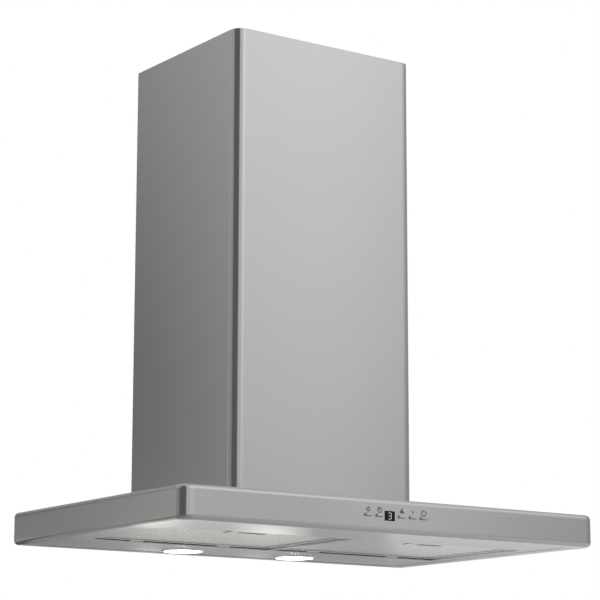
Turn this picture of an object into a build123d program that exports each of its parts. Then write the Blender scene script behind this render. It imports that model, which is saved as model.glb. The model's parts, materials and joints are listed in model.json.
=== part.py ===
from build123d import *
import os
from math import cos, radians, sin

os.makedirs("parts", exist_ok=True)

# Frame: millimetres, +X to the right seen from the room, +Y into the wall, +Z up.
# The origin lies on the wall plane, at the centre of the four wall screw holes.

# Clearances shared by the pieces
fit_gap = 0.2
running_gap = 0.05
rest_gap = 0.3

# Canopy
hood_width = 800.0
hood_depth = 520.0
canopy_height = 53.0
canopy_sheet = 0.8
canopy_corner_radius = 20.0
canopy_edge_radius = 8.0
rim_width = 36.0
back_sheet = 1.0
back_lip = 18.0

# Wall fixing
fixing_spacing = 240.0
fixing_rise = 250.0
fixing_above_canopy = 60.0
fixing_hole_radius = 4.0
plate_sheet = 1.5
plate_edge = 20.0
plate_side = 11.0
plate_corner_radius = 10.0

# Pan under the canopy, with a lamp strip at the wall and a filter on each side
pan_sheet = 0.8
pan_turn_up = 8.0
front_strip = 122.0
rear_strip = 150.0
side_strip = 20.0
centre_bar = 10.0

# Grease filters
filter_thickness = 9.0
filter_recess = 2.5
filter_gap = 2.0
filter_rear_gap = 4.0
filter_corner_radius = 3.0
frame_sheet = 0.8
frame_lip = 10.0
tongue_width = 26.0
tongue_reach = 6.0
tongue_bead_radius = 1.2
tongue_lead = 0.6
mesh_pitch_x = 28.0
mesh_pitch_y = 20.0
mesh_strand = 4.0
mesh_thickness = 3.0

# Filter latches
latch_width = 50.0
latch_tab = 8.0
latch_travel = 6.0
latch_height = 3.0
latch_margin = 5.0
latch_plate_margin = 12.0
latch_slot_inset = 26.0
bolt_width = 20.0

# Lamps
lamp_spacing = 228.0
lamp_inset = 62.0
lens_radius = 32.0
lens_thickness = 3.0
bezel_flange = 5.0
bezel_wall = 2.0
bezel_height = 1.6
bezel_neck = 8.0
lamp_base = 5.0
lamp_fin_height = 18.0
lamp_fin_count = 14
lamp_fin_thickness = 1.6
lamp_core_radius = 12.0
lens_dome = 3.0

# Controls
controls_x = -12.0
key_pitch = 21.5
key_width = 13.0
key_height = 3.6
key_proud = 4.0
key_gap = 0.5
key_travel = 0.9
key_corner_radius = 1.2
key_flange = 1.0
key_flange_thickness = 1.2
key_stem_radius = 2.0
display_width = 19.6
display_height = 14.9
display_shift = -2.0
window_thickness = 2.0
housing_width = 150.0
housing_height = 34.0
housing_depth = 20.0
housing_wall = 1.6
board_thickness = 1.6
board_setback = 15.0
boss_radius = 2.5
boss_inset = 7.0
switch_size = 6.0
switch_height = 3.5
plunger_radius = 1.7

# Fan wheel
wheel_radius = 88.0
wheel_width = 148.0
blade_count = 36
blade_depth = 17.0
blade_lean = 11.0
blade_bulge = 3.0
blade_thickness = 1.4
ring_thickness = 2.5
disc_thickness = 2.5
hub_radius = 14.0
hub_half_length = 9.0
shaft_radius = 4.0
shaft_grip = 4.0

# Scroll casing
scroll_clearance = 6.0
scroll_expansion = 8.0
scroll_side_gap = 8.0
scroll_wall = 2.0
neck_front = 45.0
neck_rise = 141.0
neck_gap = 0.5
tongue_angle = 125.0
bell_width = 7.0
bell_height = 5.0
bell_edge_radius = 2.8

# Motor and what holds it
motor_radius = 44.0
motor_edge_radius = 5.0
motor_nose_radius = 11.0
motor_nose = 4.0
motor_hub_gap = 2.0
motor_bore_depth = 63.0
shaft_chamfer = 0.5
bush_radius = 6.0
bush_length = 6.0
bush_neck_radius = 3.0
bush_neck_tip = 1.5
bush_circle = 88.0
bracket_sheet = 2.0
bracket_disc_radius = 34.0
bracket_arm_width = 18.0
bracket_arm_angles = (30.0, 150.0, 270.0)

# Blower box
box_sheet = 1.0
box_side_gap = 35.0
box_fan_gap = 13.0
box_floor_gap = 8.0
box_flange = 12.0
box_rear_flange = 9.0
air_opening_margin = 12.0

# Outlet collar and damper
collar_radius = 74.5
collar_wall = 2.5
collar_height = 68.0
collar_flange = 13.0
collar_flange_thickness = 3.0
collar_ledge = 3.5
collar_ledge_height = 3.0
pin_radius = 2.0
flap_thickness = 1.6
flap_edge_gap = 1.0
flap_pin_gap = 4.8
knuckle_radius = 3.8
knuckle_length = 12.0
knuckle_spacing = 30.0

# Duct covers
cover_width = 360.0
cover_depth = 318.0
cover_height = 788.0
cover_sheet = 0.7
cover_bend_radius = 20.0
cover_lip = 15.0
cover_nest_gap = 1.0
cover_top_inset = 5.0
foot_sheet = 2.0
foot_height = 30.0
foot_leg = 14.0
foot_length = 200.0
foot_inset = 60.0

# Wall bracket of the upper duct cover
bracket_strip_height = 40.0
bracket_strip_sheet = 1.5
bracket_ear = 60.0
bracket_below_top = 25.0
bracket_hole_spacing = 200.0
bracket_hole_radius = 3.0
bracket_pad_radius = 14.0

# Electrics in the duct and the canopy
junction_width = 100.0
junction_depth = 46.0
junction_height = 36.0
junction_wall = 2.0
junction_corner_radius = 4.0
lid_edge_radius = 1.0
junction_inset = 4.0
gland_radius = 8.0
gland_bore_radius = 4.0
gland_length = 16.0
gland_nut_radius = 11.0
gland_nut_length = 7.0
gland_from_middle = 25.0
capacitor_radius = 15.0
capacitor_height = 62.0
capacitor_edge_radius = 1.9
capacitor_clip_sheet = 1.2
capacitor_clip_width = 22.0
capacitor_clip_length = 50.0
driver_length = 110.0
driver_width = 44.0
driver_height = 26.0
driver_corner_radius = 4.0
driver_from_centre = 190.0
loom_radius = 3.0
loom_bend = 18.0
loom_from_box = 14.0
loom_x = 30.0
loom_above_box = 22.0
grommet_flange = 2.5
grommet_groove = 2.0
clip_wall = 1.2
clip_width = 8.0
clip_foot_width = 12.0
lead_radius = 2.0
lead_above_base = 14.0

# Screws
screw_radius = 1.9
screw_head_radius = 3.6
screw_head_height = 2.2
screw_tail = 3.0
box_screw_count = 3
box_screw_pitch = 80.0
collar_screw_count = 4
collar_screw_angle = 45.0

# Levels and planes that follow from the sizes above
canopy_top = -(fixing_rise / 2 + fixing_above_canopy)
canopy_bottom = canopy_top - canopy_height
canopy_ceiling = canopy_top - canopy_sheet
pan_bottom = canopy_bottom + canopy_sheet
pan_top = pan_bottom + pan_sheet
fascia_inner = -hood_depth + canopy_sheet
rim_opening_width = hood_width - 2 * rim_width

opening_width = (rim_opening_width - 2 * side_strip - centre_bar) / 2
opening_depth = hood_depth - front_strip - rear_strip
opening_x = (opening_width + centre_bar) / 2
filter_width = opening_width - 2 * filter_gap
filter_depth = opening_depth - filter_gap - filter_rear_gap
filter_front = -(hood_depth - front_strip) + filter_gap
filter_rear = filter_front + filter_depth
hinge_y = -rear_strip - tongue_lead
filter_bottom = pan_bottom + filter_recess
hinge_z = filter_bottom + frame_sheet / 2
pan_lip_top = hinge_z - tongue_bead_radius - fit_gap

lamp_places = [(side * lamp_spacing / 2, -lamp_inset) for side in (-1, 1)]
lamp_hole_radius = lens_radius + fit_gap + bezel_wall + fit_gap
lamp_body_radius = lens_radius + fit_gap + bezel_wall
lamp_fin_reach = lamp_body_radius - fit_gap
lamp_body_bottom = pan_top + bezel_neck
lead_z = lamp_body_bottom + lamp_base + lead_above_base

control_z = canopy_bottom + canopy_height / 2
slot_x = [controls_x + (index - 2.5) * key_pitch for index in range(6)]
display_x = slot_x[2] + display_shift
key_x = {
    "key_light": slot_x[0],
    "key_timer": slot_x[1],
    "key_speed": slot_x[3],
    "key_boost": slot_x[4],
    "key_power": slot_x[5],
}
board_front = fascia_inner + board_setback

scroll_crown = wheel_radius + scroll_clearance
scroll_front = scroll_crown + scroll_expansion
scroll_floor = scroll_front + scroll_expansion
scroll_rear = scroll_floor + scroll_expansion
scroll_half = wheel_width / 2 + scroll_side_gap + scroll_wall
inlet_radius = wheel_radius - blade_depth
fan_y = -(plate_sheet + box_fan_gap + scroll_wall + scroll_rear)
fan_z = canopy_top + box_floor_gap + scroll_wall + scroll_floor
fan_plane = Plane(origin=(0, fan_y, fan_z), x_dir=(0, 1, 0), z_dir=(1, 0, 0))

box_half = cover_width / 2 - box_side_gap
box_front = fan_y - scroll_front - scroll_wall - box_fan_gap - box_sheet
box_depth = -plate_sheet - box_front
box_top = fan_z + neck_rise + neck_gap + box_sheet
box_screw_x = box_half + box_flange / 2
box_screw_y = (box_front - plate_sheet) / 2
air_opening_width = 2 * (box_half - box_sheet - air_opening_margin)
air_opening_depth = box_depth - 2 * air_opening_margin
air_opening_y = -plate_sheet - air_opening_margin

collar_y = fan_y + (scroll_rear - neck_front) / 2
collar_bore = collar_radius - collar_wall
collar_screw_circle = collar_radius + collar_flange / 2
flap_z = box_top + collar_ledge_height + rest_gap + flap_thickness / 2

upper_inset = cover_sheet + cover_nest_gap
upper_width = cover_width - 2 * upper_inset
upper_front = -cover_depth + upper_inset
upper_rear = -(cover_sheet + cover_nest_gap / 2)
upper_bottom = canopy_top + foot_height + rest_gap
upper_top = canopy_top + cover_height - cover_top_inset
strip_rear = upper_rear - cover_sheet - rest_gap

junction_front = box_front + junction_inset
gland_z = box_top + junction_height + junction_wall
gland_plane = Plane((-gland_from_middle, junction_front + junction_depth / 2, gland_z))
loom_y = box_front - loom_from_box
loom_top = box_top + loom_above_box
grommet_radius = loom_radius + fit_gap + grommet_groove


def finish(builder, name):
    """Label one finished piece and write it as its own STEP file."""
    builder.part.label = name
    export_step(builder.part, f"parts/{name}.step")


# Canopy shell: a folded and welded sheet, open at the wall, with a return rim underneath
def rounded_slab(inset, rear):
    """The canopy's outer form, smaller by inset on every side but the rear."""
    with BuildPart() as slab:
        with BuildSketch(Plane.XY.offset(canopy_bottom + inset)):
            with Locations((0, rear)):
                Rectangle(
                    hood_width - 2 * inset, hood_depth - inset + rear, align=(Align.CENTER, Align.MAX)
                )
        extrude(amount=canopy_height - 2 * inset)
        fillet(slab.edges().filter_by(Axis.Z).group_by(Axis.Y)[0], canopy_corner_radius - inset)
        level_edges = slab.faces().filter_by(Axis.Z).edges()
        rounded_edges = level_edges.filter_by(lambda edge: edge.center().Y < rear - fit_gap)
        fillet(rounded_edges, canopy_edge_radius - inset)
    return slab.part


canopy_hollow = rounded_slab(canopy_sheet, rear=canopy_sheet)
canopy_form = rounded_slab(0, rear=0)
with BuildPart() as canopy_shell:
    add(canopy_form)
    add(canopy_hollow, mode=Mode.SUBTRACT)
    with BuildSketch(Plane.XY.offset(canopy_bottom)):
        Rectangle(rim_opening_width, hood_depth - rim_width, align=(Align.CENTER, Align.MAX))
    extrude(amount=2 * canopy_sheet, mode=Mode.SUBTRACT)
    with BuildSketch(Plane.XY.offset(canopy_top)):
        with Locations((0, air_opening_y)):
            Rectangle(air_opening_width, air_opening_depth, align=(Align.CENTER, Align.MAX))
        with Locations((loom_x, loom_y)):
            Circle(grommet_radius)
        with Locations((-box_screw_x, box_screw_y), (box_screw_x, box_screw_y)):
            with GridLocations(0, box_screw_pitch, 1, box_screw_count):
                Circle(screw_radius + fit_gap)
    extrude(amount=-2 * canopy_sheet, mode=Mode.SUBTRACT)
    with BuildSketch(Plane.XZ.offset(hood_depth)):
        with Locations(*[(x, control_z) for x in key_x.values()]):
            RectangleRounded(
                key_width + 2 * key_gap, key_height + 2 * key_gap, key_corner_radius + key_gap
            )
        with Locations((display_x, control_z)):
            Rectangle(display_width + 2 * fit_gap, display_height + 2 * fit_gap)
    extrude(amount=-2 * canopy_sheet, mode=Mode.SUBTRACT)
finish(canopy_shell, "canopy_shell")

# Canopy back: closes the wall side and carries the rear edge of the pan on a lip
with BuildPart() as canopy_back:
    with BuildSketch(Plane.XZ):
        with Locations((0, canopy_bottom + canopy_height / 2)):
            RectangleRounded(
                hood_width - 2 * (canopy_sheet + fit_gap),
                canopy_height - 2 * (canopy_sheet + fit_gap),
                canopy_edge_radius - canopy_sheet,
            )
        with Locations((0, canopy_bottom)):
            Rectangle(
                rim_opening_width - 2 * fit_gap, 2 * canopy_edge_radius, align=(Align.CENTER, Align.MIN)
            )
    extrude(amount=back_sheet)
    with BuildSketch(Plane.XY.offset(canopy_bottom)):
        Rectangle(rim_opening_width - 2 * fit_gap, back_lip, align=(Align.CENTER, Align.MAX))
    extrude(amount=canopy_sheet)
finish(canopy_back, "canopy_back")

# Pan: lies on the rim, with a turned-up opening for each filter and a round hole for each lamp
with BuildPart() as bottom_pan:
    pan_width = hood_width - 2 * (canopy_edge_radius + fit_gap)
    pan_depth = hood_depth - canopy_edge_radius - back_sheet - 2 * fit_gap
    with BuildSketch(Plane.XY.offset(pan_bottom)) as pan_outline:
        with Locations((0, -back_sheet - fit_gap)):
            Rectangle(pan_width, pan_depth, align=(Align.CENTER, Align.MAX))
        fillet(pan_outline.vertices().group_by(Axis.Y)[0], canopy_corner_radius)
        with Locations((-opening_x, -rear_strip), (opening_x, -rear_strip)):
            Rectangle(
                opening_width, opening_depth, align=(Align.CENTER, Align.MAX), mode=Mode.SUBTRACT
            )
        with Locations(*lamp_places):
            Circle(lamp_hole_radius, mode=Mode.SUBTRACT)
    extrude(amount=pan_sheet)
    with BuildSketch(Plane.XY.offset(pan_bottom)):
        with Locations((-opening_x, -rear_strip), (opening_x, -rear_strip)):
            for side in (-1, 1):
                with Locations((side * (opening_width + pan_sheet) / 2, 0)):
                    Rectangle(pan_sheet, opening_depth, align=(Align.CENTER, Align.MAX))
    extrude(amount=pan_sheet + pan_turn_up)
    with BuildSketch(Plane.XY.offset(pan_bottom)):
        with Locations((-opening_x, -rear_strip), (opening_x, -rear_strip)):
            Rectangle(opening_width + 2 * pan_sheet, pan_sheet, align=(Align.CENTER, Align.MIN))
            with Locations((0, -opening_depth)):
                Rectangle(opening_width + 2 * pan_sheet, pan_sheet, align=(Align.CENTER, Align.MAX))
    extrude(amount=pan_lip_top - pan_bottom)
finish(bottom_pan, "bottom_pan")


# Grease filters: a folded frame round a mesh pad, with two rear tongues and a sliding front latch
def latch_plate_outline(grow):
    """The plate at the middle of the filter's front edge that carries the latch."""
    width = latch_width + 2 * (latch_margin + latch_plate_margin + grow)
    depth = latch_slot_inset + latch_tab + latch_travel + latch_plate_margin + grow
    with BuildSketch() as outline:
        Rectangle(width, depth, align=(Align.CENTER, Align.MIN))
    return outline.sketch


def build_filter_frame(centre_x):
    """Folded aluminium frame with open faces above and below the mesh."""
    with BuildPart() as frame:
        with BuildSketch(Plane.XY.offset(filter_bottom)):
            with Locations((centre_x, (filter_front + filter_rear) / 2)):
                RectangleRounded(filter_width, filter_depth, filter_corner_radius)
        extrude(amount=filter_thickness)
        with BuildSketch(Plane.XY.offset(filter_bottom + frame_sheet)):
            with Locations((centre_x, (filter_front + filter_rear) / 2)):
                RectangleRounded(
                    filter_width - 2 * frame_sheet,
                    filter_depth - 2 * frame_sheet,
                    filter_corner_radius - frame_sheet,
                )
        extrude(amount=filter_thickness - 2 * frame_sheet, mode=Mode.SUBTRACT)
        with BuildSketch(Plane.XY.offset(filter_bottom + filter_thickness)):
            with Locations((centre_x, (filter_front + filter_rear) / 2)):
                Rectangle(filter_width - 2 * frame_lip, filter_depth - 2 * frame_lip)
        extrude(amount=-2 * frame_sheet, mode=Mode.SUBTRACT)
        with BuildSketch(Plane.XY.offset(filter_bottom)) as lower_face:
            with Locations((centre_x, (filter_front + filter_rear) / 2)):
                Rectangle(filter_width - 2 * frame_lip, filter_depth - 2 * frame_lip)
            with Locations((centre_x, filter_front)):
                add(latch_plate_sketch, mode=Mode.SUBTRACT)
            with Locations((centre_x, filter_front + latch_slot_inset)):
                Rectangle(
                    latch_width + 2 * rest_gap,
                    latch_tab + latch_travel + 2 * rest_gap,
                    align=(Align.CENTER, Align.MIN),
                )
        extrude(amount=2 * frame_sheet, mode=Mode.SUBTRACT)
        with BuildSketch(Plane.XZ.offset(-filter_front)):
            with Locations((centre_x, filter_bottom + frame_sheet)):
                Rectangle(
                    bolt_width + 2 * rest_gap,
                    latch_height + fit_gap + rest_gap,
                    align=(Align.CENTER, Align.MIN),
                )
        extrude(amount=-2 * frame_sheet, mode=Mode.SUBTRACT)
        for side in (-1, 1):
            tongue_start = centre_x + side * filter_width / 4 - tongue_width / 2
            with BuildSketch(Plane.YZ.offset(tongue_start)):
                with Locations((filter_rear - frame_sheet / 2, hinge_z)):
                    Rectangle(
                        hinge_y + tongue_reach - filter_rear + frame_sheet / 2,
                        frame_sheet,
                        align=(Align.MIN, Align.CENTER),
                    )
                with Locations((hinge_y, hinge_z)):
                    Circle(tongue_bead_radius)
            extrude(amount=tongue_width)
    return frame


def build_filter_mesh(centre_x):
    """Expanded mesh pad held in the frame, cut away round the latch."""
    pad_bottom = filter_bottom + frame_sheet + fit_gap / 2
    pad_width = filter_width - 2 * (frame_sheet + fit_gap)
    pad_depth = filter_depth - 2 * (frame_sheet + fit_gap)
    columns = int((pad_width - 2 * frame_lip) // mesh_pitch_x)
    rows = int((pad_depth - 2 * frame_lip) // mesh_pitch_y)
    with BuildPart() as mesh:
        with BuildSketch(Plane.XY.offset(pad_bottom)):
            with Locations((centre_x, (filter_front + filter_rear) / 2)):
                RectangleRounded(pad_width, pad_depth, filter_corner_radius - frame_sheet - fit_gap)
                for fewer in (0, 1):
                    with GridLocations(mesh_pitch_x, mesh_pitch_y, columns - fewer, rows - fewer):
                        add(mesh_diamond, mode=Mode.SUBTRACT)
            with Locations((centre_x, filter_front)):
                add(latch_clearance_sketch, mode=Mode.SUBTRACT)
        extrude(amount=mesh_thickness)
    return mesh


def build_latch(centre_x):
    """Sliding latch: a plate over the slot, a finger tab in it and a bolt through the frame."""
    plate_bottom = filter_bottom + frame_sheet + fit_gap
    plate_front = filter_front + frame_sheet + rest_gap
    plate_rear = filter_front + latch_slot_inset + latch_tab + latch_margin
    with BuildPart() as latch:
        with BuildSketch(Plane.XY.offset(plate_bottom)):
            with Locations((centre_x, plate_front)):
                Rectangle(
                    latch_width + 2 * latch_margin,
                    plate_rear - plate_front,
                    align=(Align.CENTER, Align.MIN),
                )
            with Locations((centre_x, filter_front - filter_gap + rest_gap)):
                Rectangle(bolt_width, filter_gap + latch_slot_inset, align=(Align.CENTER, Align.MIN))
        extrude(amount=latch_height)
        with BuildSketch(Plane.XY.offset(filter_bottom + fit_gap)):
            with Locations((centre_x, filter_front + latch_slot_inset + rest_gap)):
                Rectangle(latch_width, latch_tab, align=(Align.CENTER, Align.MIN))
        extrude(amount=frame_sheet + fit_gap)
    return latch


latch_plate_sketch = latch_plate_outline(0)
latch_clearance_sketch = latch_plate_outline(rest_gap)
with BuildSketch() as diamond:
    with BuildLine():
        Polyline(
            (-(mesh_pitch_x - mesh_strand) / 2, 0),
            (0, -(mesh_pitch_y - mesh_strand) / 2),
            ((mesh_pitch_x - mesh_strand) / 2, 0),
            (0, (mesh_pitch_y - mesh_strand) / 2),
            close=True,
        )
    make_face()
mesh_diamond = diamond.sketch

for side, word in ((-1, "left"), (1, "right")):
    finish(build_filter_frame(side * opening_x), f"filter_frame_{word}")
    finish(build_filter_mesh(side * opening_x), f"filter_mesh_{word}")
    finish(build_latch(side * opening_x), f"filter_latch_{word}")


# Lamps: a bezel pressed into the pan, a lens in it and a finned body on its neck
def build_lamp_bezel(place):
    """Turned ring with a flange under the pan and a neck through its hole."""
    with BuildPart() as bezel:
        with BuildSketch(Plane.XZ.offset(-place[1])):
            with BuildLine():
                inner = place[0] + lens_radius + fit_gap
                Polyline(
                    (inner, pan_bottom - bezel_height),
                    (inner + bezel_flange - bezel_height, pan_bottom - bezel_height),
                    (inner + bezel_flange, pan_bottom),
                    (inner + bezel_wall, pan_bottom),
                    (inner + bezel_wall, lamp_body_bottom),
                    (inner, lamp_body_bottom),
                    close=True,
                )
            make_face()
        revolve(axis=Axis((place[0], place[1], 0), (0, 0, 1)))
    return bezel


def build_lamp_lens(place):
    """Slightly domed diffuser."""
    rim = pan_bottom - bezel_height / 2
    with BuildPart() as lens:
        with BuildSketch(Plane.XZ.offset(-place[1])):
            with BuildLine():
                ThreePointArc(
                    (place[0] - lens_radius, rim),
                    (place[0], rim - lens_dome),
                    (place[0] + lens_radius, rim),
                )
                Polyline(
                    (place[0] + lens_radius, rim),
                    (place[0] + lens_radius, rim + lens_thickness),
                    (place[0] - lens_radius, rim + lens_thickness),
                    (place[0] - lens_radius, rim),
                )
            make_face()
            with Locations((place[0], rim)):
                Rectangle(
                    2 * lens_radius, 2 * lens_radius, align=(Align.MAX, Align.CENTER), mode=Mode.SUBTRACT
                )
        revolve(axis=Axis((place[0], place[1], 0), (0, 0, 1)))
    return lens


def build_lamp_body(place):
    """Cast heat sink: a base disc, a core and radial fins."""
    with BuildPart() as body:
        with BuildSketch(Plane.XY.offset(lamp_body_bottom)):
            with Locations(place):
                Circle(lamp_body_radius)
        extrude(amount=lamp_base)
        with BuildSketch(Plane.XY.offset(lamp_body_bottom + lamp_base)):
            with Locations(place):
                Circle(lamp_core_radius)
                with PolarLocations(0, lamp_fin_count):
                    Rectangle(
                        lamp_fin_reach, lamp_fin_thickness, align=(Align.MIN, Align.CENTER)
                    )
        extrude(amount=lamp_fin_height)
    return body


for place, word in zip(lamp_places, ("left", "right")):
    finish(build_lamp_bezel(place), f"lamp_bezel_{word}")
    finish(build_lamp_lens(place), f"lamp_lens_{word}")
    finish(build_lamp_body(place), f"lamp_body_{word}")

# Lamp driver: a sealed block under the canopy's top, in line with the lamps
with BuildPart() as lamp_driver:
    with BuildSketch(Plane.XY.offset(canopy_ceiling)):
        with Locations((-driver_from_centre, -lamp_inset)):
            Rectangle(driver_length, driver_width, align=(Align.MAX, Align.CENTER))
    extrude(amount=-driver_height)
    fillet(lamp_driver.edges().filter_by(Axis.Z), driver_corner_radius)
finish(lamp_driver, "lamp_driver")

# Lamp leads: one from the driver to the left lamp, one on to the right lamp
with BuildPart() as lamp_leads:
    lead_runs = (
        (-driver_from_centre, lamp_places[0][0] - lamp_fin_reach),
        (lamp_places[0][0] + lamp_fin_reach, lamp_places[1][0] - lamp_fin_reach),
    )
    for start, end in lead_runs:
        with BuildSketch(Plane.YZ.offset(start)):
            with Locations((-lamp_inset, lead_z)):
                Circle(lead_radius)
        extrude(amount=end - start)
finish(lamp_leads, "lamp_leads")

# Control housing: a tray behind the fascia with a guide hole for each key
with BuildPart() as control_housing:
    with BuildSketch(Plane.XZ.offset(-fascia_inner)):
        with Locations((controls_x, control_z)):
            RectangleRounded(housing_width, housing_height, housing_wall)
    extrude(amount=-housing_depth)
    with BuildSketch(Plane.XZ.offset(-fascia_inner - housing_wall)):
        with Locations((controls_x, control_z)):
            Rectangle(housing_width - 2 * housing_wall, housing_height - 2 * housing_wall)
    extrude(amount=-housing_depth, mode=Mode.SUBTRACT)
    with BuildSketch(Plane.XZ.offset(-fascia_inner - housing_wall)):
        with Locations((controls_x, control_z)):
            with GridLocations(housing_width - 2 * boss_inset, housing_height - 2 * boss_inset, 2, 2):
                Circle(boss_radius)
    extrude(amount=-(board_setback - housing_wall))
    with BuildSketch(Plane.XZ.offset(-fascia_inner)):
        with Locations(*[(x, control_z) for x in key_x.values()]):
            RectangleRounded(
                key_width + 2 * key_gap, key_height + 2 * key_gap, key_corner_radius + key_gap
            )
        with Locations((display_x, control_z)):
            Rectangle(display_width + 2 * fit_gap, display_height + 2 * fit_gap)
    extrude(amount=-2 * housing_wall, mode=Mode.SUBTRACT)
finish(control_housing, "control_housing")

# Control board on the housing's bosses
with BuildPart() as control_board:
    with BuildSketch(Plane.XZ.offset(-board_front)):
        with Locations((controls_x, control_z)):
            Rectangle(
                housing_width - 2 * (housing_wall + rest_gap),
                housing_height - 2 * (housing_wall + rest_gap),
            )
    extrude(amount=-board_thickness)
finish(control_board, "control_board")

# Key switches on the board, one behind each key
key_flange_front = fascia_inner + housing_wall + fit_gap
key_stem_rear = board_front - switch_height - key_travel - 2 * rest_gap
with BuildPart() as key_switches:
    with BuildSketch(Plane.XZ.offset(-board_front)):
        with Locations(*[(x, control_z) for x in key_x.values()]):
            Rectangle(switch_size, switch_size)
    extrude(amount=switch_height - rest_gap)
    with BuildSketch(Plane.XZ.offset(-board_front)):
        with Locations(*[(x, control_z) for x in key_x.values()]):
            Circle(plunger_radius)
    extrude(amount=switch_height)
finish(key_switches, "key_switches")

# Display module on the board and the tinted window in the fascia
window_front = -hood_depth - fit_gap
with BuildPart() as display_module:
    with BuildSketch(Plane.XZ.offset(-board_front)):
        with Locations((display_x, control_z)):
            Rectangle(display_width - 2 * fit_gap, display_height - 2 * fit_gap)
    extrude(amount=board_front - window_front - window_thickness - fit_gap)
finish(display_module, "display_module")

with BuildPart() as display_window:
    with BuildSketch(Plane.XZ.offset(-window_front)):
        with Locations((display_x, control_z)):
            Rectangle(display_width, display_height)
    extrude(amount=-window_thickness)
finish(display_window, "display_window")


# Keys: a proud cap, a flange that keeps it in and a stem that reaches its switch
def build_key(x):
    """One push key at its rest place."""
    with BuildPart() as key:
        with BuildSketch(Plane.XZ.offset(hood_depth + key_proud)):
            with Locations((x, control_z)):
                RectangleRounded(key_width, key_height, key_corner_radius)
        extrude(amount=-(key_flange_front + hood_depth + key_proud))
        front_edges = key.faces().sort_by(Axis.Y)[0].edges()
        fillet(front_edges, key_corner_radius / 2)
        with BuildSketch(Plane.XZ.offset(-key_flange_front)):
            with Locations((x, control_z)):
                Rectangle(key_width + 2 * key_flange, key_height + 2 * key_flange)
        extrude(amount=-key_flange_thickness)
        with BuildSketch(Plane.XZ.offset(-key_flange_front)):
            with Locations((x, control_z)):
                Circle(key_stem_radius)
        extrude(amount=-(key_stem_rear - key_flange_front))
    return key


for key_name, x in key_x.items():
    finish(build_key(x), key_name)

# Wall plate: carries the blower box and takes the four wall screws
plate_half = box_half + plate_side
with BuildPart() as wall_plate:
    with BuildSketch(Plane.XZ):
        with Locations((0, canopy_top + fit_gap)):
            Rectangle(
                2 * plate_half,
                fixing_rise / 2 + plate_edge - canopy_top - fit_gap,
                align=(Align.CENTER, Align.MIN),
            )
        with GridLocations(fixing_spacing, fixing_rise, 2, 2):
            Circle(fixing_hole_radius, mode=Mode.SUBTRACT)
    extrude(amount=plate_sheet)
    fillet(wall_plate.edges().filter_by(Axis.Y).group_by(Axis.Z)[-1], plate_corner_radius)
finish(wall_plate, "wall_plate")

# Blower box: folded sheet, open below and closed behind by the wall plate
with BuildPart() as blower_box:
    with BuildSketch(Plane.XY.offset(canopy_top)):
        with Locations((0, -plate_sheet)):
            Rectangle(2 * box_half, box_depth, align=(Align.CENTER, Align.MAX))
    extrude(amount=box_top - canopy_top)
    with BuildSketch(Plane.XY.offset(canopy_top)):
        with Locations((0, -plate_sheet)):
            Rectangle(2 * (box_half - box_sheet), box_depth - box_sheet, align=(Align.CENTER, Align.MAX))
    extrude(amount=box_top - canopy_top - box_sheet, mode=Mode.SUBTRACT)
    with BuildSketch(Plane.XY.offset(canopy_top)):
        for side in (-1, 1):
            with Locations((side * (box_half + (box_flange - box_sheet) / 2), -plate_sheet)):
                Rectangle(box_flange + box_sheet, box_depth, align=(Align.CENTER, Align.MAX))
        with Locations((-box_screw_x, box_screw_y), (box_screw_x, box_screw_y)):
            with GridLocations(0, box_screw_pitch, 1, box_screw_count):
                Circle(screw_radius + fit_gap, mode=Mode.SUBTRACT)
    extrude(amount=box_sheet)
    with BuildSketch(Plane.XZ.offset(plate_sheet)):
        for side in (-1, 1):
            with Locations((side * (box_half + (box_rear_flange - box_sheet) / 2), canopy_top)):
                Rectangle(
                    box_rear_flange + box_sheet, box_top - canopy_top, align=(Align.CENTER, Align.MIN)
                )
    extrude(amount=box_sheet)
    with BuildSketch(Plane.XY.offset(box_top)):
        with Locations((0, collar_y)):
            Circle(collar_bore)
            with PolarLocations(collar_screw_circle, collar_screw_count, start_angle=collar_screw_angle):
                Circle(screw_radius + fit_gap)
    extrude(amount=-2 * box_sheet, mode=Mode.SUBTRACT)
finish(blower_box, "blower_box")

# Screws of the blower box, heads up on its flange
with BuildPart() as box_screws:
    screw_rows = [(-box_screw_x, box_screw_y), (box_screw_x, box_screw_y)]
    with BuildSketch(Plane.XY.offset(canopy_top + box_sheet)):
        with Locations(*screw_rows):
            with GridLocations(0, box_screw_pitch, 1, box_screw_count):
                Circle(screw_head_radius)
    extrude(amount=screw_head_height)
    with BuildSketch(Plane.XY.offset(canopy_top + box_sheet)):
        with Locations(*screw_rows):
            with GridLocations(0, box_screw_pitch, 1, box_screw_count):
                Circle(screw_radius)
    extrude(amount=-(box_sheet + canopy_sheet + screw_tail))
finish(box_screws, "box_screws")


# Scroll casing: two moulded halves that meet on the middle of the fan wheel
def scroll_outline(grow):
    """Section of the air passage, larger all round by grow except at the open neck."""
    front = scroll_front + grow
    floor = scroll_floor + grow
    rear = scroll_rear + grow
    crown = scroll_crown + grow
    tip = (front * cos(radians(tongue_angle)), crown * sin(radians(tongue_angle)))
    with BuildSketch() as outline:
        with BuildLine():
            EllipticalCenterArc((0, 0), front, crown, start_angle=tongue_angle, arc_size=180 - tongue_angle)
            EllipticalCenterArc((0, 0), front, floor, start_angle=180, arc_size=90)
            EllipticalCenterArc((0, 0), rear, floor, start_angle=270, arc_size=90)
            Polyline((rear, 0), (rear, neck_rise), (-neck_front - grow, neck_rise), tip)
        make_face()
    return outline.sketch


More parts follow.
